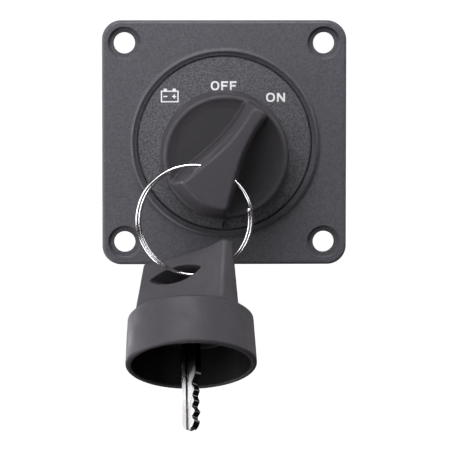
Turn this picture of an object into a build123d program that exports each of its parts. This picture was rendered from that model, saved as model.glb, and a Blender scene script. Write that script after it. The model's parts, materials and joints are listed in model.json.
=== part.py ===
from build123d import *
import math
import os

# Key-operated battery switch for a boat: square panel, round dial, key lock, rotary contacts.
#
# Every piece is drawn from the front: x to the right, y up, z towards the person using it, with
# z = 0 at the back face of the flange. The pieces are turned upright when they are written:
# +Z up, front of the panel facing -Y, origin at the centre of the flange's back face.

# ---- Panel housing ----
PANEL = 69.0                  # side of the square flange
PANEL_CORNER = 5.4
FLANGE = 4.0                  # thickness of the flange
HOLE_SPACING = 56.3           # corner screws, centre to centre
HOLE_R = 3.0
RECESS_R = 4.7                # shallow recess round each screw hole
RECESS_DEPTH = 1.7
BEZEL_R = 26.8
BEZEL_STEP = 0.8              # height of the narrow step round the bezel's foot
BEZEL_CREST_R = 26.2
BEZEL_RISE = 1.8              # height of the crest above the flange
BEZEL_LIP = 1.0               # height of the inner edge above the flange
DISC_R = 24.7
DISC_GAP = 0.15               # between the disc and its recess
DISC_TOP = 4.6
DISC_THICK = 2.0
DISC_CHAMFER = 0.5
NOTCH_R = 1.0                 # arched key mark at the bottom of the disc
NOTCH_X = 0.35
NOTCH_TOP = -22.1
NOTCH_LIP = 0.35
NOTCH_LIP_RISE = 0.35
NOTCH_DEPTH = 1.2
MARK_R = 1.4                  # moulding mark near the top of the disc
MARK_DEPTH = 0.12
MARK_Y = 19.65
BARREL_R = 26.5               # round body behind the panel
BARREL_WALL = 3.0
BARREL_END = -36.0
FLOOR_BACK = -1.0             # back of the wall behind the dial disc

# ---- Lock, on an axis a little below the centre of the panel ----
AXIS_Y = -3.1
LOCK_R = 11.0
LOCK_FRONT = 14.0
LOCK_BACK = -14.5
LOCK_COLLAR_R = 13.5
LOCK_COLLAR = 1.8
PLUG_R = 6.5
PLUG_HEAD_R = 8.0
PLUG_HEAD = 1.6
PLUG_BACK = -16.3
TANG = 7.0                    # square tail that drives the rotor
TANG_BACK = -21.0
RUNNING = 0.06                # radial clearance of turning parts
WAFER_COUNT = 5
WAFER_PITCH = 3.2
WAFER_THICK = 1.0
WAFER_SIZE = (6.4, 10.6)

# ---- Key cap ----
CAP_GAP = 0.5                 # from the dial disc to the mouth of the cap
MOUTH_R = 18.1
SHOULDER_R = 17.4
SKIRT = 13.6                  # height of the round skirt
SHOULDER_EDGE = 0.6           # bevel between the skirt and the rim of the scoops
SCOOP_R = 16.3
SCOOP_FLOOR = 13.6
SCOOP_EDGE = 2.6              # width of the slope from the rim down to the floor of a scoop
CAP_HEIGHT = 32.3
BELL_R = 16.5
BELL_TOP_R = 15.8
BELL_DEPTH = 11.4
BOSS_R = 5.0                  # round boss that holds the blade inside the bell
BOSS_FOOT_R = 5.6
BOSS_DROP = 2.0
FIN_BASE = 15.0
FIN_GROW = 1.7                # the fin is this much wider at its base, on each side
FIN_NOSE = 16.6
FIN_TAIL_R = 13.5
FIN_TAIL_BASE_R = 16.8
FIN_TAIL_HALF = 7.1
FIN_STATIONS = [(9.0, 1.9), (2.2, 2.9), (-5.2, 5.1)]   # along the fin, half thickness
FIN_NOSE_HALF = 2.2
FIN_CORNER = 0.9              # rounding of the upright corners at the wide end
FIN_NOSE_CORNER = 1.7         # and at the nose
FIN_EDGE = 0.8                # rounding round the top of the fin
SLOT_CENTRE = (-0.65, 26.4)   # along the fin, and above the mouth
SLOT_LENGTH = 16.0            # in the middle of the fin; it widens towards both flanks
SLOT_HEIGHT = 4.0
SLOT_DRAFT = math.tan(math.radians(6.5))
POINTER = 57.4                # direction of the turned pointer, degrees from the right
BLADE_WIDTH = 5.5
BLADE_THICK = 2.1
BLADE_REACH = 18.7            # past the mouth of the cap
BLADE_TIP = 2.2               # height of the rounded tip

# ---- Split ring and the spare key that hangs on it ----
RING_R = 15.50                # middle of the wire
WIRE_R = 0.39
WIRE_LIFT = 0.41              # each turn lies this far in front of or behind the middle
WIRE_SHIFT = 0.40             # and its centre is this far to one side
SHIFT_ANGLE = 160.0           # side to which the front turn is shifted
FRONT_END = 12.0              # where the front turn's cut end is, degrees from the right
BACK_END = 118.0              # where the back turn's cut end is
WIRE_STEPS = 48
RING_TILT = 9.0               # the ring hangs back towards the panel
RING_POINT = -3.70            # where the ring crosses the turned fin, along the fin
RING_DROP = 0.15              # below the middle of the slot
RING_LEAN = 26.2              # from the top of the ring to where it crosses the turned fin
SPARE_TILT = 28.3
SPARE_TURN = 49.0
SPARE_LEAN = 0.4              # round the ring from its lowest point, degrees
SPARE_CROSSING = 2.1          # where the ring crosses the spare fin, along the fin
SPARE_HANG = 0.10             # the wire lies this far above the middle of the spare's slot

# ---- Contacts ----
ROTOR_R = 14.5
ROTOR_FRONT = -17.0
ROTOR_BACK = -26.0
HUB_R = 8.0
DETENT_INNER_R = 15.0
DETENT_OUTER_R = 16.8
DETENT_Z = -21.2              # middle of the detent balls
DETENT_HALF = 3.2             # half the height of the detent ring
COLLAR_R = 18.4               # moulded collar that holds the detent ring
BALL_R = 2.0
BALL_GAP = 0.1
THROW = 40.0                  # turn from ON to OFF
SPRING_SEAT = -22.8           # bottom of the spring pocket in the rotor
BRIDGE_FRONT = -28.6
BRIDGE_THICK = 3.0
BRIDGE_WIDTH = 9.6
BRIDGE_LENGTH = 39.0
TIP_R = 4.0
TIP_THICK = 0.8
STUD_X = 15.0
STUD_R = 5.0
STUD_END = -62.0
COVER_THICK = 4.5
COVER_SCREW_R = 22.4
COVER_SCREW_ANGLES = (50, 130, 248, 292)
WASHER = 1.6
SPRING_WASHER = 2.2
NUT_FLATS = 17.0
NUT_HEIGHT = 7.0
WASHER_TOP = BARREL_END - COVER_THICK
SPRING_TOP = WASHER_TOP - WASHER
NUT_TOP = SPRING_TOP - SPRING_WASHER


def upright(shape):
    """Turn a piece from its drawing position to the standing position."""
    return Rot(90, 0, 0) * shape


def cylinder(radius, z_low, z_high, x=0.0, y=0.0):
    return Pos(x, y, (z_low + z_high) / 2) * Cylinder(radius, z_high - z_low)


def tube(outer, inner, z_low, z_high, x=0.0, y=0.0):
    return cylinder(outer, z_low, z_high, x, y) - cylinder(inner, z_low - 1, z_high + 1, x, y)


def block(width, height, z_low, z_high, x=0.0, y=0.0):
    return Pos(x, y, (z_low + z_high) / 2) * Box(width, height, z_high - z_low)


def hexagon(flats, z_low, z_high, x=0.0, y=0.0):
    outline = RegularPolygon(flats / 2, 6, major_radius=False)
    return Pos(x, y, z_low) * extrude(outline, z_high - z_low)


def coil(radius, wire, z_low, z_high, turns):
    """A compression spring about the z axis, between two heights."""
    height = z_high - z_low - 2 * wire
    path = Pos(0, 0, z_low + wire) * Helix(height / turns, height, radius)
    start = Plane(origin=path @ 0, z_dir=path % 0)
    return sweep(start * Circle(wire), path=path, is_frenet=True)


def turned(points):
    """A solid of revolution about z from an outline of (radius, z) points."""
    return revolve(make_face(Plane.XZ * Polyline(*points, close=True)), Axis.Z)


def corner_holes():
    half = HOLE_SPACING / 2
    return [(sx * half, sy * half) for sx in (-1, 1) for sy in (-1, 1)]


def cover_screw_places():
    return [
        (COVER_SCREW_R * math.cos(math.radians(a)), COVER_SCREW_R * math.sin(math.radians(a)))
        for a in COVER_SCREW_ANGLES
    ]


# ---------------------------------------------------------------- panel and dial

def panel_housing():
    plate = extrude(RectangleRounded(PANEL, PANEL, PANEL_CORNER), FLANGE)
    plate = fillet(plate.faces().sort_by(Axis.Z)[-1].outer_wire().edges(), 0.9)
    for x, y in corner_holes():
        plate -= cylinder(HOLE_R, -1, FLANGE + 1, x, y)
        recess = cylinder(RECESS_R, FLANGE - RECESS_DEPTH, FLANGE + 1, x, y)
        recess = chamfer(recess.edges().sort_by(Axis.Z)[0], 0.6)
        plate -= recess
    bezel_top = FLANGE + BEZEL_RISE
    recess_r = DISC_R + DISC_GAP
    bezel = turned([
        (0, 0), (BEZEL_R, 0), (BEZEL_R, FLANGE + BEZEL_STEP),
        (BEZEL_CREST_R + 0.3, FLANGE + BEZEL_STEP + 0.1),
        (BEZEL_CREST_R + 0.15, bezel_top - 0.3), (BEZEL_CREST_R - 0.2, bezel_top),
        (recess_r + 0.2, FLANGE + BEZEL_LIP), (0, FLANGE + BEZEL_LIP),
    ])
    barrel = tube(BARREL_R, BARREL_R - BARREL_WALL, BARREL_END, 0.5)
    floor = cylinder(BARREL_R, FLOOR_BACK, 1)
    collar = tube(COLLAR_R, DETENT_OUTER_R, DETENT_Z - DETENT_HALF, 0, y=AXIS_Y)
    collar += tube(COLLAR_R, DETENT_INNER_R + 0.6, DETENT_Z + DETENT_HALF, 0, y=AXIS_Y)
    body = plate + bezel + barrel + floor + (collar & cylinder(BARREL_R - 1, -30, 1))
    body -= cylinder(recess_r, DISC_TOP - DISC_THICK, bezel_top + 1)
    body -= cylinder(LOCK_R + 0.1, FLOOR_BACK - 1, bezel_top, y=AXIS_Y)
    for x, y in cover_screw_places():
        post = cylinder(2.6, BARREL_END, FLOOR_BACK + 0.5, x, y) & cylinder(BARREL_R - 1, -60, 10)
        body += post - cylinder(DETENT_OUTER_R, -60, DETENT_Z + DETENT_HALF, y=AXIS_Y)
    for x, y in cover_screw_places():
        body -= cylinder(1.2, BARREL_END - 1, BARREL_END + 11, x, y)
    return body


def label_disc():
    disc = cylinder(DISC_R, DISC_TOP - DISC_THICK, DISC_TOP)
    disc = chamfer(disc.edges().sort_by(Axis.Z)[-1], DISC_CHAMFER)
    disc -= cylinder(LOCK_R + 0.1, 0, 10, y=AXIS_Y)
    # an arched mark with a thin raised lip, open at the edge of the disc
    arch_y = NOTCH_TOP - NOTCH_R
    lip_r = NOTCH_R + NOTCH_LIP
    lip_low = DISC_TOP - DISC_CHAMFER
    lip_high = DISC_TOP + NOTCH_LIP_RISE
    lip = cylinder(lip_r, lip_low, lip_high, NOTCH_X, arch_y)
    lip += block(2 * lip_r, 2, lip_low, lip_high, NOTCH_X, arch_y - 1)
    lip &= cylinder(DISC_R - 0.2, 0, 10)
    slot_low = DISC_TOP - NOTCH_DEPTH
    slot = cylinder(NOTCH_R, slot_low, DISC_TOP + 1, NOTCH_X, arch_y)
    slot += block(2 * NOTCH_R, 4, slot_low, DISC_TOP + 1, NOTCH_X, arch_y - 2)
    mark = cylinder(MARK_R, DISC_TOP - MARK_DEPTH, DISC_TOP + 1, y=MARK_Y)
    return disc + lip - slot - mark


# ---------------------------------------------------------------- lock

def lock_barrel():
    body = cylinder(LOCK_R, LOCK_BACK, LOCK_FRONT)
    body = chamfer(body.edges().sort_by(Axis.Z)[-1], 0.8)
    body += cylinder(LOCK_COLLAR_R, DISC_TOP, DISC_TOP + LOCK_COLLAR)
    body -= cylinder(PLUG_R + RUNNING, LOCK_BACK - 1, LOCK_FRONT + 1)
    body -= cylinder(PLUG_HEAD_R + RUNNING, LOCK_FRONT - PLUG_HEAD - RUNNING, LOCK_FRONT + 1)
    # four grooves that catch the wafers when no key is in
    groove_back = LOCK_BACK + 2
    groove_front = LOCK_FRONT - PLUG_HEAD - 2
    for angle in (0, 90):
        body -= Rot(0, 0, angle) * block(6.8, 2 * PLUG_R + 2.4, groove_back, groove_front)
    return Pos(0, AXIS_Y, 0) * body


def keyway():
    width = BLADE_THICK + 0.3
    height = BLADE_WIDTH + 0.3
    return block(height, width, -15.2, LOCK_FRONT + 1)


def wafer_heights():
    first = LOCK_FRONT - PLUG_HEAD - 4.0
    return [first - i * WAFER_PITCH for i in range(WAFER_COUNT)]


def lock_plug():
    plug = cylinder(PLUG_R, PLUG_BACK, LOCK_FRONT)
    plug += cylinder(PLUG_HEAD_R, LOCK_FRONT - PLUG_HEAD, LOCK_FRONT)
    plug += block(TANG, TANG, TANG_BACK, PLUG_BACK)
    plug -= tube(PLUG_R + 1, PLUG_R - 1.2, LOCK_BACK - 1.1, LOCK_BACK - 0.2)
    plug -= tube(PLUG_R + 1, PLUG_R - 1.1, LOCK_FRONT - 4.0, LOCK_FRONT - 2.4)
    for z in wafer_heights():
        plug -= block(WAFER_SIZE[1] + 0.1, WAFER_SIZE[0] + 0.1, z - 0.55, z + 0.55)
    plug -= keyway()
    return Pos(0, AXIS_Y, 0) * Rot(0, 0, POINTER) * plug


def lock_wafers():
    window = (BLADE_WIDTH + 0.5, BLADE_THICK + 0.5)
    half = WAFER_THICK / 2
    wafers = [
        block(WAFER_SIZE[1], WAFER_SIZE[0], z - half, z + half) - block(*window, z - 1, z + 1)
        for z in wafer_heights()
    ]
    return Pos(0, AXIS_Y, 0) * Rot(0, 0, POINTER) * Compound(wafers)


def plug_seal():
    middle = LOCK_FRONT - 3.2
    return Pos(0, AXIS_Y, middle) * Torus(PLUG_R - 0.38, 0.7 / 2 + 0.05)


def plug_circlip():
    clip = tube(PLUG_R + 1.6, PLUG_R - 1.15, LOCK_BACK - 1.0, LOCK_BACK - 0.3)
    clip -= block(5.0, 12.0, LOCK_BACK - 2, LOCK_BACK, y=PLUG_R + 3)
    return Pos(0, AXIS_Y, 0) * clip


def lock_nut():
    nut = tube(14.6, LOCK_R + 0.02, FLOOR_BACK - 4.0, FLOOR_BACK)
    for angle in (0, 90, 180, 270):
        nut -= Rot(0, 0, angle) * block(3.0, 3.0, FLOOR_BACK - 5, FLOOR_BACK + 1, x=14.6)
    return Pos(0, AXIS_Y, 0) * nut


# ---------------------------------------------------------------- key caps

def fin_outline(grow, end_radius, nose):
    """Plan of the grip: narrow nose, waist, then a wide end with an arc about the cap's axis."""
    tail_half = FIN_TAIL_HALF + grow
    tail_x = -math.sqrt(end_radius ** 2 - tail_half ** 2)
    upper = [(x, half + grow) for x, half in [(nose, FIN_NOSE_HALF)] + FIN_STATIONS]
    upper.append((tail_x, tail_half))
    lower = [(x, -y) for x, y in upper]
    outline = make_face(Wire([
        Spline(*upper),
        ThreePointArc(upper[-1], (-end_radius, 0), lower[-1]),
        Spline(*lower[::-1]),
        Line(lower[0], upper[0]),
    ]))
    outline = fillet(outline.vertices().sort_by(Axis.X)[-2:], FIN_NOSE_CORNER)
    return fillet(outline.vertices().sort_by(Axis.X)[:2], FIN_CORNER)


def ring_slot():
    """An eye through the fin, pointed at both ends and wider at both flanks than in the middle."""
    slot_x, slot_z = SLOT_CENTRE
    reach = 12.0
    sections = []
    for y in (-reach, 0, reach):
        wider = abs(y) * SLOT_DRAFT
        plane = Plane((slot_x, y, slot_z), x_dir=(1, 0, 0), z_dir=(0, 1, 0))
        length = SLOT_LENGTH / 2 + wider
        height = SLOT_HEIGHT / 2 + wider
        sections.append(plane * make_face(Wire([
            ThreePointArc((-length, 0), (0, height), (length, 0)),
            ThreePointArc((length, 0), (0, -height), (-length, 0)),
        ])))
    return loft(sections[:2]) + loft(sections[1:])


def key_cap():
    rim = SKIRT + SHOULDER_EDGE
    shell = turned([
        (0, BELL_DEPTH), (BELL_TOP_R, BELL_DEPTH), (BELL_R, 0), (MOUTH_R - 0.4, 0), (MOUTH_R, 0.5),
        (SHOULDER_R, SKIRT), (SHOULDER_R - SHOULDER_EDGE, rim), (SCOOP_R, rim),
        (SCOOP_R - 0.3 * SCOOP_EDGE, SCOOP_FLOOR + 0.2), (SCOOP_R - SCOOP_EDGE, SCOOP_FLOOR),
        (0, SCOOP_FLOOR),
    ])
    base = fin_outline(FIN_GROW, FIN_TAIL_BASE_R, FIN_NOSE)
    top = fin_outline(0, FIN_TAIL_R, FIN_NOSE)
    fin = loft([Pos(0, 0, FIN_BASE) * base, Pos(0, 0, CAP_HEIGHT) * top])
    fin = fillet(fin.faces().sort_by(Axis.Z)[-1].outer_wire().edges(), FIN_EDGE)
    foot = Pos(0, 0, BELL_DEPTH + 1) * extrude(base, FIN_BASE - BELL_DEPTH - 1)
    boss = turned([
        (0, BELL_DEPTH + 0.5), (0, BELL_DEPTH - BOSS_DROP), (BOSS_R, BELL_DEPTH - BOSS_DROP),
        (BOSS_FOOT_R, BELL_DEPTH + 0.5),
    ])
    cap = shell + foot + fin + boss - ring_slot()
    # the pocket that the blade is moulded into
    return cap - block(BLADE_WIDTH, BLADE_THICK, BELL_DEPTH - BOSS_DROP - 1, BELL_DEPTH + 1)


def key_blade():
    """Flat blade with a rounded tip, a wavy cut along one edge and a milled groove in each face."""
    top = BELL_DEPTH + 1
    bottom = -BLADE_REACH
    half = BLADE_WIDTH / 2
    cuts = [(0.9, 1.6), (0.1, 2.4), (1.1, 4.2), (0.3, 5.6), (0.9, 7.2), (0.2, 8.8), (1.2, 10.6), (0.2, 12.4)]
    cut_edge = [(half - 0.4 - depth, bottom + BLADE_TIP + rise) for depth, rise in cuts]
    start = (-half, bottom + BLADE_TIP)
    outline = Wire([
        Line((-half, top), start),
        ThreePointArc(start, (-0.3, bottom), (half - 0.7, bottom + BLADE_TIP)),
        Spline((half - 0.7, bottom + BLADE_TIP), *cut_edge, (half, bottom + BLADE_TIP + 14.2)),
        Line((half, bottom + BLADE_TIP + 14.2), (half, top)),
        Line((half, top), (-half, top)),
    ])
    blade = extrude(Plane.XZ * make_face(outline), BLADE_THICK / 2, both=True)
    for side in (-1, 1):
        groove_y = side * (BLADE_THICK / 2 + 0.05)
        blade -= block(1.5, 1.0, bottom - 1, BELL_DEPTH - BOSS_DROP, x=-0.5, y=groove_y)
    return blade


def mounted(shape):
    return Pos(0, AXIS_Y, DISC_TOP + CAP_GAP) * Rot(0, 0, POINTER) * shape


def ring_frame():
    """Centre of the hanging ring, its sideways direction and its downward direction."""
    pointer = math.radians(POINTER)
    crossing = Vector(
        RING_POINT * math.cos(pointer),
        AXIS_Y + RING_POINT * math.sin(pointer),
        DISC_TOP + CAP_GAP + SLOT_CENTRE[1] - RING_DROP,
    )
    tilt = math.radians(RING_TILT)
    down = Vector(0, -math.cos(tilt), -math.sin(tilt))
    lean = math.radians(RING_LEAN)
    centre = crossing - Vector(1, 0, 0) * (RING_R * math.sin(lean)) + down * (RING_R * math.cos(lean))
    return centre, down


def ring_plane():
    centre, down = ring_frame()
    return Plane(centre, x_dir=(1, 0, 0), z_dir=Vector(1, 0, 0).cross(down * -1))


def spare(shape):
    """Hang a cap or blade on the lowest point of the ring."""
    centre, down = ring_frame()
    lowest = centre + down * RING_R
    tilt = math.radians(SPARE_TILT)
    axis = Vector(0, math.cos(tilt), -math.sin(tilt))
    towards = Vector(0, math.sin(tilt), math.cos(tilt))
    turn = math.radians(SPARE_TURN)
    along = Vector(1, 0, 0) * math.cos(turn) + towards * math.sin(turn)
    mouth = lowest - along * SPARE_CROSSING - axis * (SLOT_CENTRE[1] + SPARE_HANG)
    hung = Plane(mouth, x_dir=along, z_dir=axis).location * shape
    return hung.rotate(Axis(centre, ring_plane().z_dir), SPARE_LEAN)


def wire_point(run, total, double):
    """Middle of the wire after it has run that many degrees, clockwise from the front cut end."""
    change = min(1.0, max(0.0, (run - double) / (total - 2 * double)))
    side = math.cos(math.pi * change)
    angle = math.radians(FRONT_END - run)
    shift = math.radians(SHIFT_ANGLE)
    x = RING_R * math.cos(angle) + WIRE_SHIFT * side * math.cos(shift)
    y = RING_R * math.sin(angle) + WIRE_SHIFT * side * math.sin(shift)
    return (x, y, WIRE_LIFT * side)


def split_ring():
    """One wire, wound nearly twice round: the front turn passes to the back turn over the top."""
    single = BACK_END - FRONT_END
    double = 360 - single
    total = 2 * double + single
    places = [wire_point(total * i / WIRE_STEPS, total, double) for i in range(WIRE_STEPS + 1)]
    path = Spline(*places)
    start = Plane(origin=path @ 0, z_dir=path % 0)
    return ring_plane().location * sweep(start * Circle(WIRE_R), path=path)


# ---------------------------------------------------------------- rotor and contacts

def rotor():
    body = cylinder(ROTOR_R, ROTOR_BACK + 1.5, ROTOR_FRONT - 1.0)
    body += cylinder(HUB_R, ROTOR_BACK + 1, ROTOR_FRONT)
    fork_y = BRIDGE_WIDTH / 2 + 1.6
    for side in (-1, 1):
        body += block(12.0, 3.0, BRIDGE_FRONT - BRIDGE_THICK, ROTOR_BACK + 2, y=side * fork_y)
    socket = block(TANG + 0.16, TANG + 0.16, TANG_BACK - 0.2, ROTOR_FRONT + 1)
    body -= Rot(0, 0, POINTER) * socket
    body -= cylinder(5.8, ROTOR_BACK - 3, SPRING_SEAT)
    for angle in (0, 180):
        bore = Pos(ROTOR_R - 3.5, 0, DETENT_Z) * Rot(0, 90, 0) * Cylinder(BALL_R + 0.05, 9)
        body -= Rot(0, 0, angle) * bore
    return Pos(0, AXIS_Y, 0) * body


def detent_balls():
    middle = DETENT_INNER_R - BALL_GAP - BALL_R
    balls = [Rot(0, 0, a) * Pos(middle, 0, DETENT_Z) * Sphere(BALL_R) for a in (0, 180)]
    return Pos(0, AXIS_Y, 0) * Compound(balls)


def detent_springs():
    bore_end = ROTOR_R - 8.0
    ball_back = DETENT_INNER_R - BALL_GAP - 2 * BALL_R
    spring = coil(1.5, 0.22, 0, ball_back - bore_end, 5)
    springs = [Rot(0, 0, a) * Pos(bore_end, 0, DETENT_Z) * Rot(0, 90, 0) * spring for a in (0, 180)]
    return Pos(0, AXIS_Y, 0) * Compound(springs)


def detent_ring():
    ring = tube(DETENT_OUTER_R, DETENT_INNER_R, DETENT_Z - DETENT_HALF, DETENT_Z + DETENT_HALF)
    for angle in (0, THROW, 180, 180 + THROW):
        ring -= Rot(0, 0, angle) * Pos(DETENT_INNER_R - 1.5, 0, DETENT_Z) * Sphere(BALL_R + 0.3)
    return Pos(0, AXIS_Y, 0) * ring


def contact_spring():
    return Pos(0, AXIS_Y, 0) * coil(4.6, 0.6, BRIDGE_FRONT, SPRING_SEAT, 3)


def contact_bridge():
    bar = block(BRIDGE_LENGTH, BRIDGE_WIDTH, BRIDGE_FRONT - BRIDGE_THICK, BRIDGE_FRONT)
    bar = fillet(bar.edges().filter_by(Axis.Z), 4.0)
    return Pos(0, AXIS_Y, 0) * bar


def tips(z_low, z_high):
    return Compound([cylinder(TIP_R, z_low, z_high, side * STUD_X, AXIS_Y) for side in (-1, 1)])


def bridge_tips():
    back = BRIDGE_FRONT - BRIDGE_THICK
    return tips(back - TIP_THICK, back)


def stud_tips():
    front = BRIDGE_FRONT - BRIDGE_THICK - TIP_THICK - 0.05
    return tips(front - TIP_THICK, front)


def terminal_stud(side):
    head_front = BRIDGE_FRONT - BRIDGE_THICK - 2 * TIP_THICK - 0.05
    x = side * STUD_X
    head = block(12.0, 13.0, BARREL_END, head_front, x, AXIS_Y)
    head = chamfer(head.edges().filter_by(Axis.Z), 1.0)
    shank = cylinder(STUD_R, STUD_END, BARREL_END, x, AXIS_Y)
    return head + chamfer(shank.edges().sort_by(Axis.Z)[0], 0.9)


def rear_cover():
    back = BARREL_END - COVER_THICK
    cover = cylinder(BARREL_R, back, BARREL_END)
    cover = fillet(cover.edges().sort_by(Axis.Z)[0], 0.8)
    # a wall between the two terminals
    wall = block(3.0, 40.0, back - 12.0, back + 1, y=0)
    cover += wall & cylinder(BARREL_R, back - 20, back + 2)
    cover += tube(BARREL_R - BARREL_WALL - 0.1, BARREL_R - BARREL_WALL - 2.0, BARREL_END, BARREL_END + 1.2)
    for side in (-1, 1):
        cover -= cylinder(STUD_R + 0.1, back - 1, BARREL_END + 2, side * STUD_X, AXIS_Y)
        cover -= block(12.4, 13.4, BARREL_END, BARREL_END + 3, side * STUD_X, AXIS_Y)
    for x, y in cover_screw_places():
        cover -= cylinder(1.7, back - 1, BARREL_END + 3, x, y)
        cover -= cylinder(2.9, back - 1, back + 2.0, x, y)
        cover -= cylinder(2.8, BARREL_END, BARREL_END + 3, x, y)
    return cover


def cover_screws():
    back = BARREL_END - COVER_THICK
    screws = []
    for x, y in cover_screw_places():
        screw = cylinder(2.7, back + 0.1, back + 2.0, x, y)
        screw += cylinder(1.15, back + 1.5, BARREL_END + 9, x, y)
        for angle in (0, 90):
            screw -= Pos(x, y, back) * Rot(0, 0, angle) * Box(3.2, 0.7, 2.0)
        screws.append(screw)
    return Compound(screws)


def on_studs(make, z_high, height):
    return Compound([make(side * STUD_X, z_high - height, z_high) for side in (-1, 1)])


def flat_washer(x, low, high):
    return tube(9.5, STUD_R + 0.25, low, high, x, AXIS_Y)


def spring_washer(x, low, high):
    ring = tube(8.2, STUD_R + 0.15, low, high, x, AXIS_Y)
    return ring - Pos(x, AXIS_Y + 7, (low + high) / 2) * Rot(0, 25, 0) * Box(1.2, 6, 9)


def terminal_nut(x, low, high):
    nut = hexagon(NUT_FLATS, low, high, x, AXIS_Y)
    cone = Pos(x, AXIS_Y, 0) * turned([
        (0, low), (NUT_FLATS / 2 - 0.4, low), (NUT_FLATS / 2 + 1.8, low + 1.3),
        (NUT_FLATS / 2 + 1.8, high - 1.3), (NUT_FLATS / 2 - 0.4, high), (0, high),
    ])
    return (nut & cone) - cylinder(STUD_R + 0.01, low - 1, high + 1, x, AXIS_Y)


NODES = {
    "panel_housing": panel_housing,
    "label_disc": label_disc,
    "lock_barrel": lock_barrel,
    "lock_nut": lock_nut,
    "lock_plug": lock_plug,
    "lock_wafers": lock_wafers,
    "plug_seal": plug_seal,
    "plug_circlip": plug_circlip,
    "rotor": rotor,
    "detent_ring": detent_ring,
    "detent_balls": detent_balls,
    "detent_springs": detent_springs,
    "contact_spring": contact_spring,
    "contact_bridge": contact_bridge,
    "bridge_contact_tips": bridge_tips,
    "stud_contact_tips": stud_tips,
    "left_terminal_stud": lambda: terminal_stud(-1),
    "right_terminal_stud": lambda: terminal_stud(1),
    "rear_cover": rear_cover,
    "cover_screws": cover_screws,
    "flat_washers": lambda: on_studs(flat_washer, WASHER_TOP, WASHER),
    "spring_washers": lambda: on_studs(spring_washer, SPRING_TOP, SPRING_WASHER),
    "terminal_nuts": lambda: on_studs(terminal_nut, NUT_TOP, NUT_HEIGHT),
    "turned_key_cap": lambda: mounted(key_cap()),
    "turned_key_blade": lambda: mounted(key_blade()),
    "split_ring": split_ring,
    "spare_key_cap": lambda: spare(key_cap()),
    "spare_key_blade": lambda: spare(key_blade()),
}

os.makedirs("parts", exist_ok=True)
for name, make in NODES.items():
    export_step(upright(make()), f"parts/{name}.step")
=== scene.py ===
"""Looks of the key-operated battery switch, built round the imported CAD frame."""
import json
import math

import bpy
import numpy as np
from mathutils import Matrix, Vector


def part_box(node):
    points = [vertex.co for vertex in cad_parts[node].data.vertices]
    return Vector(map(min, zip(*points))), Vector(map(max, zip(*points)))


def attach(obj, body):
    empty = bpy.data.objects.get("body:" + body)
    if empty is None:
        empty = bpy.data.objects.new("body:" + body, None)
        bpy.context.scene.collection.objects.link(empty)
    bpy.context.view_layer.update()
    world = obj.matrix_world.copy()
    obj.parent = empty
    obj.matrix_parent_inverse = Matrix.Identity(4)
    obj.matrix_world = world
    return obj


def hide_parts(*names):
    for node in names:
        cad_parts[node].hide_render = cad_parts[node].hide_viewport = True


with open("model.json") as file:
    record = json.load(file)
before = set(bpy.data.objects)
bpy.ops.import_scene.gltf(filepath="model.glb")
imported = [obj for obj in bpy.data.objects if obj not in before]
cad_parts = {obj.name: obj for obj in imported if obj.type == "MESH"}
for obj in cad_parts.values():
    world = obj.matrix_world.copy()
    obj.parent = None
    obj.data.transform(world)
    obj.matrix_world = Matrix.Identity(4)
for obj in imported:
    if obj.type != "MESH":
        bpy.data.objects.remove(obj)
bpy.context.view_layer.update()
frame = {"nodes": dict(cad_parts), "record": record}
NODES = frame["nodes"]
MM = 0.001


def box(node):
    low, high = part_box(node)
    return Vector(low), Vector(high)


# ---------------------------------------------------------------- driving sizes, from the frame

DISC_LOW, DISC_HIGH = box("label_disc")
DISC_CENTRE = (DISC_LOW + DISC_HIGH) / 2
LIP_RISE = 0.35 * MM                      # the lip of the disc's arched mark stands this far above it
DISC_FACE_Y = DISC_LOW.y + LIP_RISE
PANEL_FRONT_Y = box("panel_housing")[0].y
JOINTS = {joint["name"]: joint for joint in frame["record"]["behaviour"]["joints"]}
RING_CENTRE = Vector(JOINTS["spare_key_slide"]["pos_m"])
RING_NORMAL = Vector(JOINTS["spare_key_slide"]["axis"]).normalized()

SPARE_TILT = math.radians(28.3)           # the spare key hangs with its mouth turned to the front
INTO_CAP = {                              # from the mouth of each cap inwards
    "turned_key": np.array((0, -1, 0)),
    "spare_key": np.array((0, math.sin(SPARE_TILT), math.cos(SPARE_TILT))),
}
CUT_SIDE = {                              # the way the sawn edge of each blade faces; faces turned that way get a painted dark reflection
    "turned_key": (0.539, 0.0, 0.842),
    "spare_key": (0.656, -0.664, 0.358),
}

# ---------------------------------------------------------------- small helpers


def link(obj):
    bpy.context.scene.collection.objects.link(obj)
    return obj


def smooth_shaded(mesh):
    mesh.polygons.foreach_set("use_smooth", [True] * len(mesh.polygons))


def mesh_object(name, verts, faces):
    mesh = bpy.data.meshes.new(name)
    mesh.from_pydata([tuple(v) for v in verts], [], faces)
    mesh.validate()
    mesh.update()
    smooth_shaded(mesh)
    return link(bpy.data.objects.new(name, mesh))


def baked(obj):
    """The object with its modifiers applied to its mesh."""
    depsgraph = bpy.context.evaluated_depsgraph_get()
    mesh = bpy.data.meshes.new_from_object(obj.evaluated_get(depsgraph))
    obj.modifiers.clear()
    obj.data = mesh
    return obj


MOULD_VOXEL = 0.24 * MM                   # grid of the rounded copies
MOULD_ROUNDS = 5                          # smoothing rounds, which set how soft the edges are
MOULD_KEEP = 0.3                          # share of the faces that is kept


def moulded_copy(node, name):
    """A copy of a CAD node with its edges and inner corners softly rounded, as a moulding has them."""
    piece = link(bpy.data.objects.new(name, NODES[node].data.copy()))
    piece.data.materials.clear()
    remesh = piece.modifiers.new("remesh", "REMESH")
    remesh.mode = "VOXEL"
    remesh.voxel_size = MOULD_VOXEL
    smooth = piece.modifiers.new("smooth", "SMOOTH")
    smooth.factor = 0.5
    smooth.iterations = MOULD_ROUNDS
    thin = piece.modifiers.new("thin", "DECIMATE")
    thin.ratio = MOULD_KEEP
    piece = baked(piece)
    smooth_shaded(piece.data)
    return piece


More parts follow.
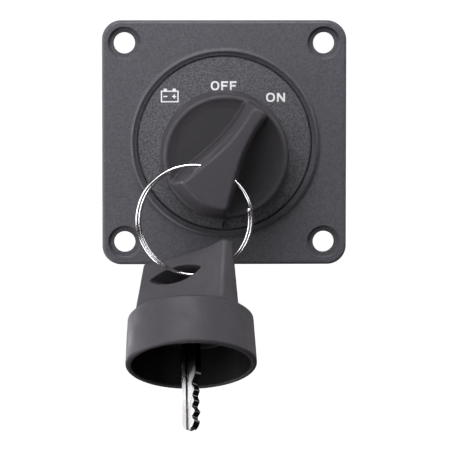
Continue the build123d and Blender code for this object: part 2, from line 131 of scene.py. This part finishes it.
MOUTH_EDGE = 0.3 * MM                     # points this near the outermost one are on the mouth's edge


def mouth_centre(cap, along):
    """The middle of the edge of a cap's mouth."""
    places = np.array([v.co for v in NODES[cap].data.vertices])
    depth = places @ along
    return places[depth < depth.min() + MOUTH_EDGE].mean(axis=0)


# ---------------------------------------------------------------- materials


class Material:
    """A principled material with short calls for the node chains used here."""

    def __init__(self, name, color, roughness, metallic=0.0):
        self.material = bpy.data.materials.new(name)
        self.material.use_nodes = True
        self.nodes = self.material.node_tree.nodes
        self.links = self.material.node_tree.links
        self.shader = self.nodes["Principled BSDF"]
        self.shader.inputs["Base Color"].default_value = (*color, 1)
        self.shader.inputs["Roughness"].default_value = roughness
        self.shader.inputs["Metallic"].default_value = metallic
        self.color = color
        coordinates = self.nodes.new("ShaderNodeTexCoord")
        self.place = coordinates.outputs["Object"]
        self.normal = coordinates.outputs["Normal"]

    def noise(self, scale, detail=2.0, stretch=None):
        node = self.nodes.new("ShaderNodeTexNoise")
        node.inputs["Scale"].default_value = scale
        node.inputs["Detail"].default_value = detail
        place = self.place
        if stretch:
            mapping = self.nodes.new("ShaderNodeMapping")
            mapping.inputs["Scale"].default_value = stretch
            self.links.new(place, mapping.inputs["Vector"])
            place = mapping.outputs["Vector"]
        self.links.new(place, node.inputs["Vector"])
        return node.outputs["Fac"]

    def grains(self, scale):
        node = self.nodes.new("ShaderNodeTexVoronoi")
        node.inputs["Scale"].default_value = scale
        self.links.new(self.place, node.inputs["Vector"])
        return node.outputs["Distance"]

    def dot_product(self, vector, direction):
        node = self.nodes.new("ShaderNodeVectorMath")
        node.operation = "DOT_PRODUCT"
        node.inputs[1].default_value = direction
        self.links.new(vector, node.inputs[0])
        return node.outputs["Value"]

    def facing(self, direction):
        """How much the surface faces that direction of the object."""
        return self.dot_product(self.normal, direction)

    def along(self, direction):
        """How far a point of the object lies along that direction."""
        return self.dot_product(self.place, direction)

    def ramp(self, value, low, high, stops=(0.35, 0.65)):
        node = self.nodes.new("ShaderNodeMapRange")
        node.inputs["From Min"].default_value = stops[0]
        node.inputs["From Max"].default_value = stops[1]
        node.inputs["To Min"].default_value = low
        node.inputs["To Max"].default_value = high
        self.links.new(value, node.inputs["Value"])
        return node.outputs["Result"]

    def vary_color(self, value, dark, light, stops=(0.3, 0.7)):
        node = self.nodes.new("ShaderNodeValToRGB")
        node.color_ramp.elements[0].position = stops[0]
        node.color_ramp.elements[1].position = stops[1]
        node.color_ramp.elements[0].color = (*[c * dark for c in self.color], 1)
        node.color_ramp.elements[1].color = (*[c * light for c in self.color], 1)
        self.links.new(value, node.inputs["Fac"])
        self.links.new(node.outputs["Color"], self.shader.inputs["Base Color"])

    def stored(self, attribute):
        """A number stored at each point of the mesh."""
        node = self.nodes.new("ShaderNodeAttribute")
        node.attribute_name = attribute
        return node.outputs["Fac"]

    def scale_color(self, value):
        node = self.nodes.new("ShaderNodeVectorMath")
        node.operation = "SCALE"
        last = self.shader.inputs["Base Color"]
        self.links.new(last.links[0].from_socket, node.inputs[0])
        self.links.new(value, node.inputs["Scale"])
        self.links.new(node.outputs["Vector"], last)

    def vary_roughness(self, value, low, high):
        self.links.new(self.ramp(value, low, high), self.shader.inputs["Roughness"])

    def bump(self, value, strength, distance):
        node = self.nodes.new("ShaderNodeBump")
        node.inputs["Strength"].default_value = strength
        node.inputs["Distance"].default_value = distance
        self.links.new(value, node.inputs["Height"])
        last = self.shader.inputs["Normal"]
        if last.is_linked:
            self.links.new(last.links[0].from_socket, node.inputs["Normal"])
        self.links.new(node.outputs["Normal"], last)


def fine_plastic(name, color, roughness, speckle=0.10):
    """Smooth moulded plastic with a fine speckle in its colour."""
    m = Material(name, color, roughness)
    m.vary_color(m.noise(2400, 3), 1 - speckle, 1 + speckle, (0.35, 0.65))
    m.vary_roughness(m.noise(500, 3), roughness - 0.05, roughness + 0.06)
    m.bump(m.noise(1500, 2), 0.35, 0.02 * MM)
    return m.material


def shaded_plastic(name, color, roughness):
    """Key plastic with painted shade, darker in the hollows than on the faces outside, by a number stored
    on the mesh.
    """
    m = Material(name, color, roughness)
    m.vary_color(m.noise(2400, 3), 0.86, 1.14, (0.35, 0.65))
    # painted shade in the bells and the scoops, from the number stored on the mesh
    m.scale_color(m.stored("painted_shade_scale"))
    m.vary_roughness(m.noise(260, 4), roughness - 0.06, roughness + 0.08)
    m.bump(m.noise(1100, 2), 0.35, 0.03 * MM)
    m.shader.inputs["Specular IOR Level"].default_value = 0.3
    return m.material


def spark_eroded_plastic(name, color, roughness):
    """Coarse moulded grain, as on the dial."""
    m = Material(name, color, roughness)
    m.vary_color(m.noise(2000, 3), 0.45, 1.6, (0.34, 0.66))
    m.vary_roughness(m.noise(1500, 2), roughness - 0.08, roughness + 0.08)
    m.bump(m.grains(2300), 0.6, 0.16 * MM)
    m.bump(m.noise(1400, 2), 0.5, 0.12 * MM)
    return m.material


def brushed_metal(name, color, roughness):
    """Turned or drawn metal: fine marks that follow one another along the switch's own axis."""
    stretch = (1, 30, 1)
    m = Material(name, color, roughness, 1.0)
    m.vary_color(m.noise(120, 4), 0.92, 1.05)
    m.vary_roughness(m.noise(80, 4, stretch), roughness - 0.04, roughness + 0.08)
    m.bump(m.noise(80, 3, stretch), 0.12, 0.01 * MM)
    return m.material


BLADE_SHADE = 0.12                        # painted shade on the blade inside the cap: full from 2 mm inside the cap's mouth, gone 3 mm outside it
SHADE_START, SHADE_FULL = 3 * MM, 2 * MM


def cut_metal(name, color, roughness, cut_side, into_cap, mouth):
    """Polished blade with a painted dark reflection on its sawn edge, and painted shade where it is inside
    the cap.
    """
    stretch = (4, 4, 1)
    m = Material(name, color, roughness, 1.0)
    # painted dark reflection on the faces turned to the sawn edge's side
    m.vary_color(m.facing(cut_side), 1.0, 0.08, (0.35, 0.60))
    # painted shade on the part of the blade inside the cap
    m.scale_color(
        m.ramp(m.along(into_cap), 1.0, BLADE_SHADE, (mouth - SHADE_START, mouth + SHADE_FULL))
    )
    m.vary_roughness(m.noise(60, 5, stretch), roughness - 0.04, roughness + 0.10)
    m.bump(m.noise(90, 4, stretch), 0.15, 0.01 * MM)
    return m.material


def bright_metal(name, color, roughness):
    """Plated or polished wire."""
    m = Material(name, color, roughness, 1.0)
    m.vary_color(m.noise(900, 3), 0.95, 1.02)
    m.vary_roughness(m.noise(3000, 3), roughness * 0.95, roughness * 1.1)
    return m.material


def printed_ink(name, color):
    """Screen-printed ink, slightly uneven."""
    m = Material(name, color, 0.45)
    m.vary_color(m.noise(1800, 3), 0.90, 1.0)
    m.bump(m.noise(2400, 2), 0.2, 0.01 * MM)
    return m.material


def soft_rubber(name, color):
    """Dull rubber of a seal."""
    m = Material(name, color, 0.7)
    m.vary_color(m.noise(400, 3), 0.8, 1.2)
    m.bump(m.noise(1500, 3), 0.2, 0.02 * MM)
    return m.material


HOUSING = fine_plastic("housing_plastic", (0.051, 0.051, 0.059), 0.52, speckle=0.28)
DIAL = spark_eroded_plastic("dial_grain", (0.056, 0.056, 0.063), 0.56)
KEY = shaded_plastic("key_plastic", (0.038, 0.035, 0.040), 0.56)
COVER = fine_plastic("cover_plastic", (0.022, 0.022, 0.025), 0.42)
ACETAL = fine_plastic("rotor_acetal", (0.62, 0.60, 0.54), 0.38)
NICKEL = brushed_metal("nickel_plated_zinc", (0.62, 0.61, 0.59), 0.30)
BRASS = brushed_metal("turned_brass", (0.75, 0.58, 0.28), 0.28)
COPPER = brushed_metal("copper_bar", (0.80, 0.42, 0.27), 0.32)
SILVER = brushed_metal("silver_contact", (0.86, 0.85, 0.82), 0.25)
STAINLESS = brushed_metal("stainless_steel", (0.62, 0.62, 0.63), 0.30)
SPRING = bright_metal("spring_steel", (0.55, 0.55, 0.56), 0.25)
CHROME = bright_metal("ring_chrome", (0.95, 0.95, 0.96), 0.16)
BLADE_COLOR, BLADE_ROUGHNESS = (0.66, 0.65, 0.65), 0.24
RUBBER = soft_rubber("seal_rubber", (0.02, 0.02, 0.02))
INK = printed_ink("legend_ink", (0.72, 0.72, 0.72))

NODE_MATERIALS = {
    "panel_housing": HOUSING, "label_disc": DIAL, "lock_barrel": NICKEL, "lock_nut": NICKEL,
    "lock_plug": BRASS, "lock_wafers": BRASS, "plug_seal": RUBBER, "plug_circlip": SPRING,
    "rotor": ACETAL, "detent_ring": STAINLESS, "detent_balls": SPRING, "detent_springs": SPRING,
    "contact_spring": SPRING, "contact_bridge": COPPER, "bridge_contact_tips": SILVER,
    "stud_contact_tips": SILVER, "left_terminal_stud": BRASS, "right_terminal_stud": BRASS,
    "rear_cover": COVER, "cover_screws": STAINLESS, "flat_washers": STAINLESS,
    "spring_washers": STAINLESS, "terminal_nuts": STAINLESS, "turned_key_cap": KEY,
    "split_ring": CHROME, "spare_key_cap": KEY,
}


def dress_nodes():
    for name, material in NODE_MATERIALS.items():
        mesh = NODES[name].data
        mesh.materials.clear()
        mesh.materials.append(material)
    for key, into_cap in INTO_CAP.items():
        mouth = float(mouth_centre(f"{key}_cap", into_cap) @ into_cap)
        blade = NODES[f"{key}_blade"].data
        blade.materials.clear()
        blade.materials.append(
            cut_metal(f"{key}_nickel", BLADE_COLOR, BLADE_ROUGHNESS, CUT_SIDE[key], into_cap, mouth)
        )


# ---------------------------------------------------------------- pieces


BELL_INSIDE_R = 16.8 * MM                 # the hollow bell of a key cap, from the mouth inwards
BELL_INSIDE_DEPTH = 12.2 * MM
SCOOP_R = 16.2 * MM                       # the hollows on both sides of the fin
SCOOP_LOW, SCOOP_HIGH = 13.0 * MM, 21.0 * MM      # from the mouth inwards
SCOOP_FADE = 6 * MM                       # the scoops' shade fades out over this depth
EDGE_FADE = 1 * MM                        # and over this width at their rim
MOUTH_LIP = 0.4 * MM                      # the mouth's edge itself gets no painted shade
INSIDE_SHADE, SCOOP_SHADE = 0.12, 0.55    # painted shade: share of the key's colour that is left there


def store_painted_shade(piece, mouth, along, scoop_shade):
    """Store the painted shade at each point of a cap, as a share of its colour: 1 outside, less in the
    scoops, little inside the bell.
    """
    offsets = np.array([v.co for v in piece.data.vertices]) - mouth
    depth = offsets @ along
    radius = np.linalg.norm(offsets - np.outer(depth, along), axis=1)
    in_scoop = np.clip((SCOOP_R - radius) / EDGE_FADE, 0, 1)
    in_scoop *= np.clip((SCOOP_HIGH - depth) / SCOOP_FADE, 0, 1)
    painted_shade_scale = 1 - in_scoop * (1 - scoop_shade) * (depth > SCOOP_LOW)
    inside = (depth > MOUTH_LIP) & (depth < BELL_INSIDE_DEPTH) & (radius < BELL_INSIDE_R)
    # painted shade inside the bell
    painted_shade_scale[inside] = INSIDE_SHADE
    stored = piece.data.attributes.new("painted_shade_scale", "FLOAT", "POINT")
    stored.data.foreach_set("value", painted_shade_scale.astype(np.float32))


def key_caps():
    """Both caps as rounded copies, with painted shade inside their bells. Only the turned one has painted
    shade in its scoops.
    """
    for key, scoop_shade in (("turned_key", SCOOP_SHADE), ("spare_key", 1.0)):
        cap = f"{key}_cap"
        piece = moulded_copy(cap, f"{cap}_moulding")
        piece.data.materials.append(KEY)
        along = INTO_CAP[key]
        store_painted_shade(piece, mouth_centre(cap, along), along, scoop_shade)
        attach(piece, key)
        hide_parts(cap)


WIRE_R = 0.39 * MM
WIRE_RING_R = 15.5 * MM                   # the ring to the middle of its wire
TURN_LIFT = 0.41 * MM                     # each turn lies this far in front of or behind the middle
TURN_OFFSET = 0.40 * MM                   # and its centre is this far to one side
OFFSET_ANGLE = math.radians(160)
FRONT_END = math.radians(12)              # where the wire ends, round the ring from its right side
BACK_END = math.radians(118)
WIRE_STEPS, WIRE_SIDES = 300, 14
END_TAPER = 0.8                           # the wire's ends are rounded off to this share of its radius


def wire_ring():
    """Split ring: one wire, wound nearly twice round, that passes to its back turn over the top."""
    single = BACK_END - FRONT_END
    double = 2 * math.pi - single
    total = 2 * double + single
    across = Vector((1, 0, 0))
    up = RING_NORMAL.cross(across).normalized()
    offset = across * math.cos(OFFSET_ANGLE) + up * math.sin(OFFSET_ANGLE)
    steps, sides = WIRE_STEPS, WIRE_SIDES
    verts, faces = [], []
    for i in range(steps + 1):
        run = total * i / steps
        angle = FRONT_END - run
        change = min(1.0, max(0.0, (run - double) / single))
        side = math.cos(math.pi * change)
        out = across * math.cos(angle) + up * math.sin(angle)
        lift = RING_NORMAL * (TURN_LIFT * side)
        middle = RING_CENTRE + out * WIRE_RING_R + offset * (TURN_OFFSET * side) + lift
        end = min(run, total - run) * WIRE_RING_R / WIRE_R
        radius = WIRE_R * (END_TAPER + (1 - END_TAPER) * min(1.0, end))
        for k in range(sides):
            turn = 2 * math.pi * k / sides
            verts.append(middle + (out * math.cos(turn) + RING_NORMAL * math.sin(turn)) * radius)
    for i in range(steps):
        for k in range(sides):
            a, b = i * sides + k, i * sides + (k + 1) % sides
            faces.append((a, a + sides, b + sides, b))
    faces.append(tuple(range(sides)))
    faces.append(tuple(range(steps * sides, (steps + 1) * sides))[::-1])
    ring = mesh_object("split_ring_wire", verts, faces)
    ring.data.materials.append(CHROME)
    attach(ring, "ring")
    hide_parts("split_ring")


INK_SKIN = 0.03 * MM                      # half the thickness of the ink
INK_RISE = 0.02 * MM                      # its middle stands this far above the dial
STROKE = 0.50 * MM                        # line width of the letters
LETTER_HEIGHT = 2.5 * MM


def box_outline(left, bottom, right, top):
    return [(left, bottom), (right, bottom), (right, top), (left, top)]


def letter_f(left, width):
    """The outline of an F, standing on the line y = 0."""
    t, h = STROKE, LETTER_HEIGHT
    middle = 0.49 * h
    bar = 0.88 * width
    points = [
        (0, 0), (t, 0), (t, middle - t / 2), (bar, middle - t / 2), (bar, middle + t / 2),
        (t, middle + t / 2), (t, h - t), (width, h - t), (width, h), (0, h),
    ]
    return [[(left + x, y) for x, y in points]]


def letter_n(left, width):
    """The outline of an N, standing on the line y = 0."""
    t, h = STROKE, LETTER_HEIGHT
    reach = 1.12 * t
    low = 0.66 * h
    points = [
        (0, 0), (t, 0), (t, low), (width - reach, 0), (width, 0),
        (width, h), (width - t, h), (width - t, h - low), (reach, h), (0, h),
    ]
    return [[(left + x, y) for x, y in points]]


def letter_o(left, width):
    """An upright oval, squarer than an ellipse, with its hole."""
    outlines = []
    for inset in (0, 1):
        half_width = width / 2 - inset * STROKE
        half_height = LETTER_HEIGHT * 0.515 - inset * STROKE * 0.9
        outline = []
        for i in range(48):
            angle = 2 * math.pi * i / 48
            c, s = math.cos(angle), math.sin(angle)
            x = math.copysign(abs(c) ** 0.85, c) * half_width
            y = math.copysign(abs(s) ** 0.85, s) * half_height
            outline.append((left + width / 2 + x, LETTER_HEIGHT / 2 + y))
        outlines.append(outline)
    return outlines


def battery():
    """A plain battery drawn in lines, with its two poles and their signs."""
    width, height, line = 5.0 * MM, 3.3 * MM, 0.34 * MM
    pole_low, pole_high, pole = 0.8 * MM, 1.7 * MM, 0.55 * MM
    case = [
        (0, 0), (width, 0), (width, height), (width - pole_low, height),
        (width - pole_low, height + pole), (width - pole_high, height + pole),
        (width - pole_high, height), (pole_high, height), (pole_high, height + pole),
        (pole_low, height + pole), (pole_low, height), (0, height),
    ]
    hole = box_outline(line, line, width - line, height - line)
    arm, half = 0.58 * MM, line / 2
    x, y = 0.25 * width, 0.5 * height
    minus = box_outline(x - arm, y - half, x + arm, y + half)
    x = 0.75 * width
    plus = [
        (x - arm, y - half), (x - half, y - half), (x - half, y - arm), (x + half, y - arm),
        (x + half, y - half), (x + arm, y - half), (x + arm, y + half), (x + half, y + half),
        (x + half, y + arm), (x - half, y + arm), (x - half, y + half), (x - arm, y + half),
    ]
    return [case, hole, minus, plus]


def printed(name, outlines, place):
    """A flat mark as a thin skin of ink, its middle at that place; an outline inside another is a hole."""
    curve = bpy.data.curves.new(name, "CURVE")
    curve.dimensions = "2D"
    curve.fill_mode = "BOTH"
    curve.extrude = INK_SKIN
    xs = [x for outline in outlines for x, y in outline]
    ys = [y for outline in outlines for x, y in outline]
    middle = ((min(xs) + max(xs)) / 2, (min(ys) + max(ys)) / 2)
    for outline in outlines:
        spline = curve.splines.new("POLY")
        spline.points.add(len(outline) - 1)
        for point, (x, y) in zip(spline.points, outline):
            point.co = (x - middle[0], y - middle[1], 0, 1)
        spline.use_cyclic_u = True
    source = link(bpy.data.objects.new(f"{name}_source", curve))
    depsgraph = bpy.context.evaluated_depsgraph_get()
    mesh = bpy.data.meshes.new_from_object(source.evaluated_get(depsgraph))
    bpy.data.objects.remove(source)
    mesh.transform(Matrix.Translation(place) @ Matrix.Rotation(math.radians(90), 4, "X"))
    mesh.materials.clear()
    mesh.materials.append(INK)
    piece = link(bpy.data.objects.new(name, mesh))
    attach(piece, "housing")


def dial_legends():
    """OFF, ON and the battery; each place is across and up from the middle of the dial, in mm."""
    centre = Vector((DISC_CENTRE.x, DISC_FACE_Y - INK_RISE, DISC_CENTRE.z))
    off = letter_o(0, 2.4 * MM) + letter_f(2.94 * MM, 1.95 * MM) + letter_f(5.38 * MM, 1.87 * MM)
    on = letter_o(0, 2.5 * MM) + letter_n(3.08 * MM, 2.27 * MM)
    printed("legend_off", off, centre + Vector((-0.2, 0, 16.15)) * MM)
    printed("legend_on", on, centre + Vector((14.45, 0, 12.85)) * MM)
    printed("battery_mark", battery(), centre + Vector((-15.4, 0, 13.4)) * MM)


# ---------------------------------------------------------------- stage, light and camera


FLOOR_Z = -0.65
STAGE_R, STAGE_BEND, STAGE_TOP = 4.0, 1.2, 5.0    # the camera stays inside it in every view
STAGE_SIDES, BEND_STEPS = 64, 16


def stage():
    """A round pale floor that turns up into a pale wall all round the object."""
    profile = [(0.01, FLOOR_Z)]
    for i in range(BEND_STEPS + 1):
        angle = math.pi / 2 * i / BEND_STEPS
        radius = STAGE_R - STAGE_BEND * (1 - math.sin(angle))
        profile.append((radius, FLOOR_Z + STAGE_BEND * (1 - math.cos(angle))))
    profile.append((STAGE_R, STAGE_TOP))
    sides = STAGE_SIDES
    verts = []
    for radius, z in profile:
        for k in range(sides):
            turn = 2 * math.pi * k / sides
            verts.append((radius * math.cos(turn), radius * math.sin(turn), z))
    faces = [tuple(range(sides))]
    for i in range(len(profile) - 1):
        for k in range(sides):
            a, b = i * sides + k, i * sides + (k + 1) % sides
            faces.append((a, b, b + sides, a + sides))
    floor = mesh_object("studio_floor", verts, faces)
    pale = Material("studio_paper", (0.90, 0.90, 0.90), 0.9)
    pale.shader.inputs["Emission Color"].default_value = (1, 1, 1, 1)
    pale.shader.inputs["Emission Strength"].default_value = 1.0
    floor.data.materials.append(pale.material)
    floor.visible_diffuse = False
    floor.visible_glossy = False
    floor.visible_shadow = False


def area_light(name, place, target, size, power):
    light = bpy.data.lights.new(name, "AREA")
    light.shape = "RECTANGLE"
    light.size, light.size_y = size
    light.energy = power
    light.color = (0.97, 0.97, 1.0)
    lamp = link(bpy.data.objects.new(name, light))
    lamp.location = place
    lamp.rotation_euler = (Vector(target) - Vector(place)).to_track_quat("-Z", "Y").to_euler()


def lights():
    """Soft lamps all round, small ones near the camera for the lines on the wire, two for the back."""
    panel, keys = (0, 0, 0), (0, -0.03, -0.05)
    area_light("top_light", (-0.06, -0.24, 0.34), panel, (0.35, 0.2), 2.3)
    area_light("key_light", (-0.45, -0.95, 0.42), keys, (0.7, 0.7), 4.8)
    area_light("left_light", (-0.80, -0.16, 0.02), keys, (0.5, 0.6), 4.2)
    area_light("right_light", (0.85, -0.14, 0.35), keys, (0.35, 0.7), 3.5)
    area_light("front_spot", (0.0, -1.15, 0.16), keys, (0.25, 0.25), 0.9)
    area_light("left_spot", (-0.55, -0.95, -0.30), keys, (0.25, 0.25), 0.7)
    area_light("right_spot", (0.55, -0.95, 0.05), keys, (0.25, 0.25), 0.4)
    area_light("low_light", (-0.35, -0.16, -0.45), keys, (0.5, 0.25), 1.8)
    area_light("blade_card", (-0.62, 0.15, 0.10), keys, (0.4, 0.5), 0.50)
    area_light("back_light", (0.40, 0.75, 0.35), panel, (0.5, 0.5), 7.0)
    area_light("back_fill", (-0.50, 0.70, 0.05), panel, (0.5, 0.5), 3.5)
    world = bpy.data.worlds.new("studio")
    bpy.context.scene.world = world
    world.use_nodes = True
    background = world.node_tree.nodes["Background"]
    background.inputs["Color"].default_value = (1.0, 0.74, 0.76, 1)
    background.inputs["Strength"].default_value = 0.05


FRAME_WIDTH = 127.35 * MM                 # width of the view at the plane of the panel
CAMERA_DISTANCE = 1.0
AZIMUTH, ELEVATION = -1.5, 4.5
AIM_X, AIM_Z = 0.2 * MM, -23.3 * MM       # the middle of the view
AIM_DEPTH = 0.7                           # as a share of the way to the housing's foremost point


def camera():
    data = bpy.data.cameras.new("camera")
    data.sensor_width = 36
    data.lens = data.sensor_width * CAMERA_DISTANCE / FRAME_WIDTH
    data.clip_start, data.clip_end = 0.05, 20
    cam = link(bpy.data.objects.new("camera", data))
    a, e = math.radians(AZIMUTH), math.radians(ELEVATION)
    back = Vector((math.sin(a) * math.cos(e), -math.cos(a) * math.cos(e), math.sin(e)))
    aim = Vector((AIM_X, PANEL_FRONT_Y * AIM_DEPTH, AIM_Z))
    cam.location = aim + back * CAMERA_DISTANCE
    cam.rotation_mode = "QUATERNION"
    cam.rotation_quaternion = (-back).to_track_quat("-Z", "Y")
    bpy.context.scene.camera = cam


dress_nodes()
key_caps()
wire_ring()
dial_legends()
stage()
lights()
camera()
bpy.context.scene.view_settings.view_transform = "Standard"
